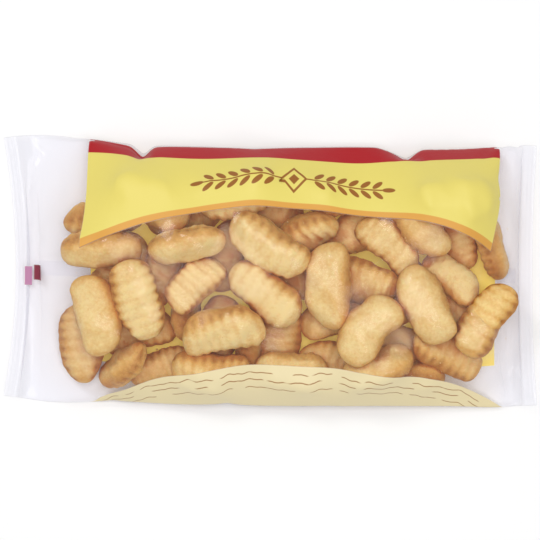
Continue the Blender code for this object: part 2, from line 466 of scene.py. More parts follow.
# Grid of the film at its finest
SEAL_COLUMNS = 12
PILLOW_COLUMNS = 136
FILM_ROWS = 72  # of each side of the tube
DRAPE_STAGES = ((4, 200), (2, 160), (1, 110))  # how many times coarser than the finest, rounds
FILM_LIFT = 0.0012  # the film's middle surface off the cakes
TABLE_LIFT = 0.0004
FOLD_HEIGHT = 0.020
PUFF = 0.050
FALL = 0.00004
KEPT_SPEED = 0.92
GUIDE = 0.08
END_GUIDE = 0.30  # how much more firmly the folds are drawn to their places at the ends

# Where the long folds lie: shares of the bag's half length and half width
TOP_FOLD = ((-1, 0.977), (-0.89, 1), (-0.70, 0.936), (-0.51, 0.895), (0, 0.886), (0.86, 0.886), (1, 0.915))
BOTTOM_FOLD = ((-1, -0.923), (-0.87, -0.955), (-0.66, -0.95), (-0.26, -0.995), (0.47, -1), (0.86, -1), (1, -0.991))
# Folds that run in from the long edges: place along the bag as a share of its half length, depth of the notch
TOP_PLEATS = ((-0.478, 0.0070), (-0.06, 0.0015), (0.513, 0.0065))
BOTTOM_PLEATS = ((-0.59, 0.003), (-0.16, 0.005), (0.21, 0.0015))
PLEAT_SPREAD = 0.007
# Notches pinched into the top fold: place along, depth, how far each opens to the left and to the right, reach down
PINCHES = (
    (-0.1015, 0.0075, 0.0105, 0.0085, 0.026),
    (0.1095, 0.0080, 0.0250, 0.0125, 0.016),
)
# Creases pressed into the front film: from and to, as places along and up the film in metres, depth and half width
CREASES = (
    (-0.108, 0.1105, -0.088, 0.083, 0.0022, 0.0022),
    (-0.116, 0.1105, -0.099, 0.094, -0.0012, 0.0020),
    (0.104, 0.1105, 0.090, 0.088, 0.0016, 0.0022),
    (0.104, 0.1105, 0.124, 0.090, 0.0016, 0.0024),
    (-0.012, 0.1105, 0.000, 0.099, 0.0007, 0.0022),
    (-0.136, -0.112, -0.150, -0.060, 0.0020, 0.0022),
    (-0.136, -0.112, -0.118, -0.088, 0.0012, 0.0022),
    (-0.034, -0.112, -0.046, -0.090, 0.0016, 0.0022),
    (-0.034, -0.112, -0.020, -0.096, 0.0010, 0.0020),
    (-0.200, -0.105, -0.150, -0.052, 0.0016, 0.0024),
    (-0.205, -0.060, -0.165, -0.040, -0.0010, 0.0022),
    (-0.206, 0.030, -0.168, 0.010, 0.0012, 0.0026),
    (-0.204, 0.062, -0.170, 0.060, -0.0010, 0.0024),
    (-0.200, 0.104, -0.162, 0.075, 0.0014, 0.0024),
    (0.212, -0.110, 0.184, -0.076, 0.0018, 0.0022),
    (0.216, -0.102, 0.190, -0.052, -0.0012, 0.0020),
    (0.192, -0.060, 0.194, 0.012, 0.0012, 0.0018),
    (0.200, -0.040, 0.201, 0.040, -0.0009, 0.0018),
    (0.214, 0.104, 0.188, 0.082, 0.0014, 0.0022),
    (0.206, 0.040, 0.186, 0.070, 0.0010, 0.0022),
)
LEFT_BOW = 0.010  # how far the middle of each end is drawn in
RIGHT_BOW = 0.004
LEFT_SEAL_HEIGHT = 0.007
RIGHT_SEAL_HEIGHT = 0.011
SEAL_WAVE = 0.0015
SEAL_GUIDE = 0.25


def eased(places, along):
    """Curve through a few places, level at each of them."""
    marks = np.array(places)
    after = np.clip(np.searchsorted(marks[:, 0], along), 1, len(marks) - 1)
    low, high = marks[after - 1], marks[after]
    return low[..., 1] + (high[..., 1] - low[..., 1]) * smooth_step(low[..., 0], high[..., 0], along)


def fold_line(along, fold, pleats):
    """How far up the bag a long fold lies at these places along it."""
    up = HALF_WIDTH * eased(fold, along / HALF_LENGTH)
    notch = sum(depth * np.exp(-np.abs(along - place * HALF_LENGTH) / PLEAT_SPREAD) for place, depth in pleats)
    return up - np.sign(up) * notch


class Film:
    """A tube of film as a grid of points: columns along the bag, and rows once round it from the bottom fold."""

    def __init__(self, coarseness, earlier=None):
        sizes = settings("madeleine_film")
        seal_columns = SEAL_COLUMNS // coarseness
        pillow_columns = PILLOW_COLUMNS // coarseness
        self.side_rows = FILM_ROWS // coarseness
        seal = np.full(seal_columns, sizes.seal_width / seal_columns)
        pillow = np.full(pillow_columns, (sizes.flat_length - 2 * sizes.seal_width) / pillow_columns)
        self.steps = np.concatenate((seal, pillow, seal))
        self.flat_along = np.concatenate(((0,), np.cumsum(self.steps))) - sizes.flat_length / 2
        self.columns = len(self.flat_along)
        from_end = sizes.flat_length / 2 - np.abs(self.flat_along)
        gathered = 1 - sizes.seal_gather * (1 - smooth_step(sizes.seal_width, GATHER_REACH, from_end))
        self.row_steps = (sizes.flat_width / self.side_rows * gathered)[:, None, None]
        self.guides = GUIDE + END_GUIDE * (1 - smooth_step(sizes.seal_width, GATHER_REACH, from_end))
        self.rows = 2 * self.side_rows
        row = np.arange(self.rows)
        self.opposite = (self.rows - row) % self.rows
        self.is_front = (row > 0) & (row < self.side_rows)
        self.is_back = row > self.side_rows
        from_bottom = np.where(row <= self.side_rows, row, self.rows - row)
        self.flat_up = (from_bottom / self.side_rows - 0.5) * sizes.flat_width
        column = np.arange(self.columns)
        self.sealed = np.minimum(column, column[::-1]) <= seal_columns
        self.points = self.first_shape(sizes) if earlier is None else self.refined(earlier)

    def first_shape(self, sizes):
        """A puffed-up tube round the heap, which flattens towards both seals."""
        along_share = self.flat_along[:, None] / (sizes.flat_length / 2)
        puff = np.sqrt(np.clip(1 - np.abs(along_share) ** 6, 0, 1))
        up_share = self.flat_up[None, :] / (sizes.flat_width / 2)
        crown = np.where(self.is_front, PUFF, -FOLD_HEIGHT)[None, :]
        height = FOLD_HEIGHT + crown * puff * np.sqrt(np.clip(1 - np.abs(up_share) ** 5, 0, 1))
        along = np.broadcast_to(HALF_LENGTH * along_share, height.shape)
        return np.stack((along, HALF_WIDTH * np.broadcast_to(up_share, height.shape), height), axis=2)

    def refined(self, earlier):
        """The points of a coarser film, with more points between them."""
        column = np.interp(self.flat_along, earlier.flat_along, np.arange(earlier.columns))
        row = np.arange(self.rows) * earlier.rows / self.rows
        whole_column = np.minimum(column.astype(int), earlier.columns - 2)
        part_column = (column - whole_column)[:, None, None]
        whole_row = row.astype(int)
        part_row = (row - whole_row)[None, :, None]
        next_row = (whole_row + 1) % earlier.rows
        points = earlier.points
        lower = points[whole_column][:, whole_row] * (1 - part_row) + points[whole_column][:, next_row] * part_row
        upper = points[whole_column + 1][:, whole_row] * (1 - part_row)
        upper = upper + points[whole_column + 1][:, next_row] * part_row
        return lower * (1 - part_column) + upper * part_column

    def hold(self, first, second, rest, stiffness, only_short=False):
        """Move the points of each pair to their rest distance; first and second index the grid."""
        gap = self.points[second] - self.points[first]
        length = np.sqrt(np.einsum("ijk,ijk->ij", gap, gap))[..., None] + 1e-9
        share = stiffness / 2 * (1 - rest / length)
        if only_short:
            share = np.minimum(share, 0)
        gap *= share
        self.points[first] += gap
        self.points[second] -= gap

    def hold_lengths(self):
        """One pass over the film's own lengths: along, round, across both diagonals and over its folds."""
        row = np.arange(self.rows)
        after = (row + 1) % self.rows
        column = np.arange(self.columns)
        for parity in (0, 1):
            first = column[parity:-1:2]
            rest = self.steps[first][:, None, None]
            self.hold(np.ix_(first, row), np.ix_(first + 1, row), rest, 1.0)
            self.hold(np.ix_(column, row[parity::2]), np.ix_(column, after[parity::2]), self.row_steps, 1.0)
            slant = np.sqrt(rest**2 + self.row_steps[first] ** 2)
            self.hold(np.ix_(first, row), np.ix_(first + 1, after), slant, SLANT_STIFFNESS)
            self.hold(np.ix_(first, after), np.ix_(first + 1, row), slant, SLANT_STIFFNESS)
        for start in (0, 2):
            pairs = np.array([c for c in range(self.columns - 2) if c % 4 in (start, start + 1)])
            rest = BEND_SHARE * (self.steps[pairs] + self.steps[pairs + 1])[:, None, None]
            self.hold(np.ix_(pairs, row), np.ix_(pairs + 2, row), rest, BEND_STIFFNESS, True)
            rows = np.array([r for r in row if r % 4 in (start, start + 1) and (r + 1) % self.side_rows])
            rest = 2 * BEND_SHARE * self.row_steps
            self.hold(np.ix_(column, rows), np.ix_(column, (rows + 2) % self.rows), rest, BEND_STIFFNESS, True)

    def close_seals(self, half_gap):
        """Press front and back together over the sealed ends and level them."""
        ends = self.points[self.sealed]
        middle = (ends + ends[:, self.opposite]) / 2
        middle[..., 2] += half_gap * (self.is_front.astype(float) - self.is_back)
        self.points[self.sealed] = middle

    def guide(self):
        """Draw the folds and the cut ends towards where they lie in the plan of the bag."""
        for row, fold, pleats in ((0, BOTTOM_FOLD, BOTTOM_PLEATS), (self.side_rows, TOP_FOLD, TOP_PLEATS)):
            line = self.points[:, row]
            line[:, 1] += self.guides * (fold_line(line[:, 0], fold, pleats) - line[:, 1])
        bowed = 1 - (self.flat_up / self.flat_up.max()) ** 2
        for end, bow, height in ((-1, LEFT_BOW, LEFT_SEAL_HEIGHT), (1, RIGHT_BOW, RIGHT_SEAL_HEIGHT)):
            columns = np.nonzero(self.sealed & (np.sign(self.flat_along) == end))[0]
            from_cut = self.flat_along[-1] - np.abs(self.flat_along[columns, None])
            seal = self.points[columns]
            seal[..., 0] += SEAL_GUIDE * (end * (HALF_LENGTH - bow * bowed - from_cut) - seal[..., 0])
            wave = SEAL_WAVE * np.sin(end + 0.035 * 1000 * self.flat_up)
            seal[..., 2] += SEAL_GUIDE * (height + wave - seal[..., 2])
            self.points[columns] = seal

    def drape(self, field, rounds):
        """Let the film down over the heap until it lies as its own lengths allow."""
        velocity = np.zeros_like(self.points)
        for _ in range(rounds):
            before = self.points.copy()
            self.points += velocity * KEPT_SPEED
            self.points[..., 2] -= FALL
            self.points += AIR * self.outward()
            self.guide()
            for _ in range(2):
                self.hold_lengths()
            self.close_seals(SEAL_GAP / 2)
            self.clear(field)
            self.keep_apart()
            velocity = self.points - before

    def outward(self):
        """Direction out of the bag at each point."""
        along = np.gradient(self.points, axis=0)
        round_ = np.roll(self.points, -1, axis=1) - np.roll(self.points, 1, axis=1)
        out = np.cross(along, round_)
        return out / (np.linalg.norm(out, axis=-1, keepdims=True) + 1e-12)

    def ease_ends(self):
        """Round the bend where the film opens out of each end seal."""
        height = self.points[..., 2]
        for _ in range(EASE_ROUNDS):
            mean = (height[:-2] + 2 * height[1:-1] + height[2:]) / 4
            near = slice(SEAL_COLUMNS // 2, SEAL_COLUMNS + EASE_COLUMNS)
            for columns in (near, slice(-near.stop, -near.start)):
                height[1:-1][columns] = mean[columns]

    def pinch(self):
        """Draw sharp notches into the top fold, where the film is tucked under itself."""
        from_fold = self.flat_up.max() - self.flat_up
        for place, depth, left, right, reach in PINCHES:
            aside = self.points[:, self.side_rows, 0] - place
            across = np.clip(1 - np.abs(aside) / np.where(aside < 0, left, right), 0, 1) ** 1.2
            reaches = np.where(self.is_back, 3 * reach, reach)
            self.points[..., 1] -= depth * across[:, None] * (1 - smooth_step(0.0, reaches, from_fold))

    def press_creases(self):
        """Press sharp folds into the front film, deepest where each starts."""
        along, up = np.meshgrid(self.flat_along, self.flat_up, indexing="ij")
        depth = np.zeros_like(along)
        for from_along, from_up, to_along, to_up, deep, half in CREASES:
            run, climb = to_along - from_along, to_up - from_up
            length = math.hypot(run, climb)
            part = ((along - from_along) * run + (up - from_up) * climb) / length**2
            aside = np.abs((along - from_along) * climb - (up - from_up) * run) / length
            fade = smooth_step(-0.08, 0.04, part) * (1 - smooth_step(0.2, 1.0, part))
            depth += deep * fade * np.exp(-aside / half)
        front = self.is_front & (np.arange(self.rows) > 1) & (np.arange(self.rows) < self.side_rows - 1)
        self.points -= (depth * front)[..., None] * self.outward()

    def crimp(self, ridge_height, ridges):
        """Ridges across both seals, along the cut edges."""
        from_cut = self.flat_along[-1] - np.abs(self.flat_along)
        wave = np.where(self.sealed, np.sin(2 * math.pi * ridges * from_cut / settings("madeleine_film").seal_width), 0)
        self.points[..., 2] += ridge_height * wave[:, None]

    def keep_apart(self):
        """Hold the front film over the back film where both lie empty."""
        front = self.points[:, 1 : self.side_rows, 2]
        back = self.points[:, : self.side_rows : -1, 2]
        crossed = np.maximum(SEAL_GAP - (front - back), 0)
        front += crossed / 2
        back -= crossed / 2
        self.points[..., 2] = np.maximum(self.points[..., 2], TABLE_LIFT)

    def clear(self, field):
        """Lift the film off the cakes and the table."""
        apart, outward = field.look_up(self.points)
        self.points += outward * np.maximum(FILM_LIFT - apart, 0)[..., None]
        self.points[..., 2] = np.maximum(self.points[..., 2], TABLE_LIFT)


SLANT_STIFFNESS = 0.35
BEND_SHARE = 0.97
BEND_STIFFNESS = 0.5
SEAL_GAP = 0.0006
GATHER_REACH = 0.045
EASE_ROUNDS = 10
EASE_COLUMNS = 12
AIR = 0.000028


class Nodes:
    """Short ways to add the nodes of one tree; each gives back an output socket."""

    def __init__(self, tree):
        self.tree = tree
        self.count = 0

    def add(self, kind, *values, output=0, **settings_):
        """Add a node; values go to its inputs in order, where None leaves one as it is."""
        node = self.tree.nodes.new("ShaderNode" + kind)
        node.location = (180 * (self.count % 12) - 2200, -220 * (self.count // 12))
        self.count += 1
        for name, value in settings_.items():
            setattr(node, name, value)
        for socket, value in zip(node.inputs, values):
            self.put(socket, value)
        return node.outputs[output]

    def put(self, socket, value):
        if isinstance(value, bpy.types.NodeSocket):
            self.tree.links.new(value, socket)
        elif value is not None:
            socket.default_value = value

    def math(self, operation, *values, clamp=False):
        return self.add("Math", *values, operation=operation, use_clamp=clamp)

    def within(self, value, low, high, blur):
        """1 where the value is between low and high, with edges of this blur."""
        from_low = self.math("DIVIDE", self.math("SUBTRACT", value, low), blur, clamp=True)
        from_high = self.math("DIVIDE", self.math("SUBTRACT", high, value), blur, clamp=True)
        return self.math("MULTIPLY", from_low, from_high)

    def under(self, value, limit, blur):
        """1 where the value is below the limit."""
        return self.math("DIVIDE", self.math("SUBTRACT", limit, value), blur, clamp=True)

    def mark(self, name):
        return self.add("Attribute", attribute_name=name, output=2)

    def mix(self, share, first, second):
        node = self.tree.nodes.new("ShaderNodeMix")
        node.location = (180 * (self.count % 12) - 2200, -220 * (self.count // 12))
        self.count += 1
        node.data_type = "RGBA"
        self.put(node.inputs[0], share)
        self.put(node.inputs[6], first)
        self.put(node.inputs[7], second)
        return node.outputs[2]

    def mix_value(self, share, first, second):
        return self.add("Mix", share, None, first, second)

    def noise(self, scale, detail=2.0, roughness=0.5, vector=None, **settings_):
        node = self.add("TexNoise", vector, **settings_).node
        node.inputs["Scale"].default_value = scale
        node.inputs["Detail"].default_value = detail
        node.inputs["Roughness"].default_value = roughness
        return node.outputs["Fac"]


def opaque(colour):
    return (*colour, 1.0)


def new_material(name):
    made = bpy.data.materials.new(name)
    made.use_nodes = True
    return made, Nodes(made.node_tree), made.node_tree.nodes["Principled BSDF"]


def set_inputs(shader, **values):
    for name, value in values.items():
        shader.inputs[name.replace("_", " ")].default_value = value


LOW_SHADE_HEIGHTS = (0.012, 0.036)  # heights between which painted shade comes in on the cakes under the others, darkened as if in the shadow of those above


def crust_material():
    sizes = settings("madeleine_cakes")
    made, nodes, shader = new_material("madeleine_crust")
    place = nodes.add("TexCoord", output=3)
    clouds = nodes.noise(70, 3, 0.55, place)
    mottle = nodes.noise(420, 3, 0.6, place)
    crumb = nodes.noise(1500, 2, 0.6, place)
    baked = nodes.math("MULTIPLY_ADD", nodes.mark("tone"), 0.12, 0.06)
    baked = nodes.math("MULTIPLY_ADD", nodes.mark("edge"), 0.60, baked)
    # The groove mark darkens the rib grooves: partly the crust's baked colour, partly painted shade that stands in for
    # the ribs' relief
    baked = nodes.math("MULTIPLY_ADD", nodes.mark("groove"), 0.32, baked)
    baked = nodes.math("MULTIPLY_ADD", nodes.mark("ribbed"), -0.07, nodes.math("ADD", baked, 0.07))
    baked = nodes.math("ADD", baked, nodes.math("MULTIPLY_ADD", clouds, 0.60, -0.30))
    baked = nodes.math("ADD", baked, nodes.math("MULTIPLY_ADD", mottle, 0.44, -0.22))
    baked = nodes.math("ADD", baked, nodes.math("MULTIPLY_ADD", crumb, 0.22, -0.11))
    ramp = nodes.add("ValToRGB", baked).node
    stops = ramp.color_ramp.elements
    stops[0].position, stops[0].color = 0.08, opaque(sizes.pale_colour)
    stops[1].position, stops[1].color = 0.90, opaque(sizes.brown_colour)
    stops.new(0.44).color = opaque(sizes.golden_colour)
    speck = nodes.noise(900, 1, 0.5, place)
    speck = nodes.math("DIVIDE", nodes.math("SUBTRACT", speck, 0.74), 0.05, clamp=True)
    colour = nodes.mix(nodes.math("MULTIPLY", speck, 0.55), ramp.outputs["Color"], opaque(sizes.brown_colour))
    # Painted shade: the crust turns towards the shade colour where the cakes around shut it in
    painted_nook_shade = nodes.math("MULTIPLY", nodes.math("POWER", nodes.mark("painted_nook_shade"), 2.6), 1.0, clamp=True)
    colour = nodes.mix(painted_nook_shade, colour, opaque(sizes.painted_shade_colour))
    # Painted shade: the lower the crust lies in the heap, the more it is darkened towards the shade colour
    height = nodes.add("SeparateXYZ", place, output=2)
    low = nodes.math("MULTIPLY", nodes.under(height, LOW_SHADE_HEIGHTS[1], LOW_SHADE_HEIGHTS[1] - LOW_SHADE_HEIGHTS[0]), 0.36)
    colour = nodes.mix(low, colour, opaque(sizes.painted_shade_colour))
    nodes.put(shader.inputs["Base Color"], colour)
    relief = nodes.math("MULTIPLY_ADD", mottle, 0.6, nodes.math("MULTIPLY", crumb, 0.4))
    bump = nodes.add("Bump", 0.5, 0.0007).node
    nodes.put(bump.inputs["Height"], relief)
    nodes.put(shader.inputs["Normal"], bump.outputs[0])
    nodes.put(shader.inputs["Roughness"], nodes.math("MULTIPLY_ADD", mottle, 0.25, 0.45))
    set_inputs(shader, Specular_IOR_Level=0.3, Subsurface_Weight=0.4, Subsurface_Scale=0.004)
    set_inputs(shader, Subsurface_Radius=(1.0, 0.55, 0.25))
    return made


class PrintSettings(bpy.types.PropertyGroup):
    """Where the bag is printed and in which colours."""

    banner_left: FloatProperty(
        name="Banner left", description="Left end of the banner at the fold", default=-0.1505, unit="LENGTH"
    )
    banner_right: FloatProperty(
        name="Banner right", description="Right end of the banner at the fold", default=0.1820, unit="LENGTH"
    )
    banner_middle: FloatProperty(
        name="Banner middle", description="Where the arch of the banner is highest", default=0.0165, unit="LENGTH"
    )
    banner_crown: FloatProperty(
        name="Banner crown", description="How far up the film the middle of the arch lies", default=0.0498, unit="LENGTH"
    )
    banner_drop: FloatProperty(
        name="Banner drop", description="How far the arch falls to its tips", default=0.0370, unit="LENGTH"
    )
    border: FloatProperty(name="Border", description="Width of the orange border", default=0.0048, unit="LENGTH")
    stripe: FloatProperty(name="Stripe", description="Width of the red stripe", default=0.0160, unit="LENGTH")
    hill_middle: FloatProperty(
        name="Hill middle", description="Middle of the cream field along the film", default=0.0205, unit="LENGTH"
    )
    hill_reach: FloatProperty(
        name="Hill reach", description="Half the length of the cream field", default=0.165, unit="LENGTH"
    )
    hill_height: FloatProperty(
        name="Hill height", description="Height of the cream field over the fold", default=0.0472, unit="LENGTH"
    )
    ornament_reach: FloatProperty(
        name="Ornament reach", description="Half the length of the ornament", default=0.074, unit="LENGTH"
    )
    yellow: FloatVectorProperty(
        name="Yellow", description="Banner and back panel", default=(0.79, 0.67, 0.16), subtype="COLOR"
    )
    red: FloatVectorProperty(name="Red", description="Stripe along the fold", default=(0.42, 0.010, 0.016), subtype="COLOR")
    orange: FloatVectorProperty(
        name="Orange", description="Border of the banner", default=(0.72, 0.36, 0.07), subtype="COLOR"
    )
    cream: FloatVectorProperty(
        name="Cream", description="Field along the bottom", default=(0.82, 0.70, 0.42), subtype="COLOR"
    )
    brown: FloatVectorProperty(
        name="Brown", description="Ornament and fine lines", default=(0.32, 0.12, 0.022), subtype="COLOR"
    )


EDGE_BLUR = 0.0004  # softness of a printed edge
CLEAR_TINT = (0.966, 0.966, 0.982)  # what one layer of clear film lets through
PAINTED_LIGHT_PANEL = (0.95, 0.74, 0.14)  # painted light: the back panel seen from inside, made brighter to stand in for light shining in from below the bag
BACK_PANEL_LOW = -0.074
BACK_PANEL_HIGH = 0.098
STRIPE_WRAP = 0.002  # how far the red stripe goes round the fold
LEFT_LEAN = -0.071  # how far each end of the banner leans for every metre up the film
RIGHT_LEAN = 0.088
CORNER_ROUNDING = 0.004
# Register marks: low and high place along, low and high place up, colour
REGISTER_MARKS = (
    (-0.2130, -0.2062, -0.0150, 0.0010, (0.50, 0.22, 0.38)),
    (-0.2050, -0.1932, -0.0104, 0.0024, (0.24, 0.035, 0.06)),
)
GRAINS = 6  # on each side of each half of the ornament's stem
GRAIN_TILT = math.radians(38)


def ornament_nodes(nodes, along, up):
    """Two ears of wheat that run out from a lozenge: 1 where it is printed."""
    ink = settings("madeleine_print")
    middle = ink.banner_middle - 0.002
    height = ink.banner_crown + 0.0235
    out = nodes.math("ABSOLUTE", nodes.math("SUBTRACT", along, middle))
    bend = nodes.math("MULTIPLY", nodes.math("POWER", out, 2), 1.1)
    rise = nodes.math("ADD", nodes.math("SUBTRACT", up, height), bend)
    aside = nodes.math("ABSOLUTE", rise)
    first, pitch = 0.015, (ink.ornament_reach - 0.015 - 0.004) / GRAINS
    stem = nodes.math("MULTIPLY", nodes.within(out, 0.008, ink.ornament_reach - 0.004, EDGE_BLUR), nodes.under(aside, 0.0008, EDGE_BLUR))
    cell = nodes.math("DIVIDE", nodes.math("SUBTRACT", out, first), pitch)
    in_cell = nodes.math("MULTIPLY", nodes.math("SUBTRACT", nodes.math("FRACT", cell), 0.5), pitch)
    off_stem = nodes.math("SUBTRACT", aside, 0.0043)
    cos, sin = math.cos(GRAIN_TILT), math.sin(GRAIN_TILT)
    lengthwise = nodes.math("MULTIPLY_ADD", in_cell, cos, nodes.math("MULTIPLY", off_stem, sin))
    across = nodes.math("MULTIPLY_ADD", off_stem, cos, nodes.math("MULTIPLY", in_cell, -sin))
    size = nodes.math("SQRT", nodes.math("ADD", nodes.math("POWER", nodes.math("DIVIDE", lengthwise, 0.0052), 2), nodes.math("POWER", nodes.math("DIVIDE", across, 0.0021), 2)))
    grain = nodes.math("MULTIPLY", nodes.under(size, 1.0, 0.15), nodes.within(cell, 0, GRAINS, 0.01))
    tip = nodes.math("SQRT", nodes.math("ADD", nodes.math("POWER", nodes.math("DIVIDE", nodes.math("SUBTRACT", out, ink.ornament_reach), 0.0055), 2), nodes.math("POWER", nodes.math("DIVIDE", rise, 0.0021), 2)))
    lozenge = nodes.math("ADD", nodes.math("DIVIDE", out, 0.0105), nodes.math("DIVIDE", aside, 0.0120))
    ring = nodes.within(lozenge, 0.72, 1.0, 0.06)
    core = nodes.under(lozenge, 0.42, 0.06)
    shown = nodes.math("MAXIMUM", stem, grain)
    shown = nodes.math("MAXIMUM", shown, nodes.under(tip, 1.0, 0.15))
    return nodes.math("MAXIMUM", nodes.math("MAXIMUM", ring, core), shown)


def field_line_nodes(nodes, along, under_crest):
    """Thin broken lines that run along the cream field under its crest."""
    flat = nodes.add("CombineXYZ", along, 0.0, 0.0)
    sway = nodes.noise(38, 2, 0.6, flat)
    depth = nodes.math("ADD", under_crest, nodes.math("MULTIPLY_ADD", sway, 0.014, -0.007))
    lines = None
    for place, width, seed in ((0.0065, 0.00035, 3.0), (0.0125, 0.00040, 11.0), (0.0200, 0.00035, 23.0)):
        apart = nodes.math("ABSOLUTE", nodes.math("SUBTRACT", depth, place))
        stroke = nodes.under(apart, width + 0.0002, 0.0003)
        broken = nodes.noise(55, 1, 0.5, nodes.add("CombineXYZ", along, seed, 0.0))
        stroke = nodes.math("MULTIPLY", stroke, nodes.math("DIVIDE", nodes.math("SUBTRACT", broken, 0.44), 0.05, clamp=True))
        lines = stroke if lines is None else nodes.math("MAXIMUM", lines, stroke)
    return nodes.math("MULTIPLY", lines, 0.85)


def print_nodes(nodes):
    """Colour of the ink and how much of the film it covers, from the film's own flat coordinates."""
    ink = settings("madeleine_print")
    along, up, front = nodes.mark("flat_along"), nodes.mark("flat_up"), nodes.mark("front")
    on_front = nodes.math("GREATER_THAN", front, 0.5)
    top = settings("madeleine_film").flat_width / 2
    from_fold = nodes.math("SUBTRACT", top, up)
    corner = nodes.math("DIVIDE", nodes.math("SUBTRACT", CORNER_ROUNDING + 0.002, from_fold), CORNER_ROUNDING, clamp=True)
    corner = nodes.math("MULTIPLY", nodes.math("POWER", corner, 3), CORNER_ROUNDING)
    left = nodes.math("ADD", nodes.math("MULTIPLY_ADD", from_fold, -LEFT_LEAN, ink.banner_left), corner)
    right = nodes.math("SUBTRACT", nodes.math("MULTIPLY_ADD", from_fold, -RIGHT_LEAN, ink.banner_right), corner)
    from_left = nodes.math("DIVIDE", nodes.math("SUBTRACT", along, left), EDGE_BLUR, clamp=True)
    from_right = nodes.math("DIVIDE", nodes.math("SUBTRACT", right, along), EDGE_BLUR, clamp=True)
    in_reach = nodes.math("MULTIPLY", from_left, from_right)
    half = (ink.banner_right - ink.banner_left) / 2
    share = nodes.math("DIVIDE", nodes.math("ABSOLUTE", nodes.math("SUBTRACT", along, ink.banner_middle)), half)
    drop = nodes.math("MULTIPLY", nodes.math("POWER", share, 2.4), ink.banner_drop)
    over_arch = nodes.math("SUBTRACT", up, nodes.math("SUBTRACT", ink.banner_crown, drop))
    above = nodes.math("DIVIDE", over_arch, EDGE_BLUR, clamp=True)
    front_banner = nodes.math("MULTIPLY", in_reach, above)
    back_panel = nodes.within(up, BACK_PANEL_LOW, BACK_PANEL_HIGH, EDGE_BLUR)
    back_panel = nodes.math("MAXIMUM", back_panel, nodes.under(from_fold, STRIPE_WRAP, EDGE_BLUR))
    back_reach = nodes.within(along, ink.banner_left, ink.banner_right - 0.002, EDGE_BLUR)
    banner = nodes.mix_value(on_front, nodes.math("MULTIPLY", back_panel, back_reach), front_banner)
    border_width = nodes.math("MULTIPLY_ADD", nodes.math("POWER", share, 4), 0.6 * ink.border, ink.border)
    border = nodes.math("MULTIPLY", nodes.under(over_arch, border_width, EDGE_BLUR), on_front)
    edge_line = nodes.math("MULTIPLY", nodes.under(over_arch, 0.0009, EDGE_BLUR), on_front)
    colour = nodes.mix(border, opaque(ink.yellow), opaque(ink.orange))
    colour = nodes.mix(nodes.math("MULTIPLY", edge_line, 0.55), colour, opaque(ink.brown))
    ornament = nodes.math("MULTIPLY", ornament_nodes(nodes, along, up), on_front)
    colour = nodes.mix(ornament, colour, opaque(ink.brown))
    colour = nodes.mix(nodes.under(from_fold, ink.stripe, EDGE_BLUR), colour, opaque(ink.red))
    hill_share = nodes.math("DIVIDE", nodes.math("SUBTRACT", along, ink.hill_middle), ink.hill_reach)
    slope = nodes.math("POWER", nodes.math("ABSOLUTE", hill_share), 2.5)
    crest = nodes.math("MULTIPLY_ADD", slope, -ink.hill_height, ink.hill_height - top)
    under_crest = nodes.math("SUBTRACT", crest, up)
    hill = nodes.math("MULTIPLY", nodes.within(under_crest, 0, 1, EDGE_BLUR), on_front)
    field = nodes.mix(field_line_nodes(nodes, along, under_crest), opaque(ink.cream), opaque(ink.brown))
    colour = nodes.mix(hill, colour, field)
    cover = nodes.math("MAXIMUM", banner, hill)
    for low, high, bottom, up_to, tint in REGISTER_MARKS:
        mark = nodes.math("MULTIPLY", nodes.within(along, low, high, EDGE_BLUR), nodes.within(up, bottom, up_to, EDGE_BLUR))
        mark = nodes.math("MULTIPLY", mark, on_front)
        colour = nodes.mix(mark, colour, opaque(tint))
        cover = nodes.math("MAXIMUM", cover, mark)
    return colour, cover


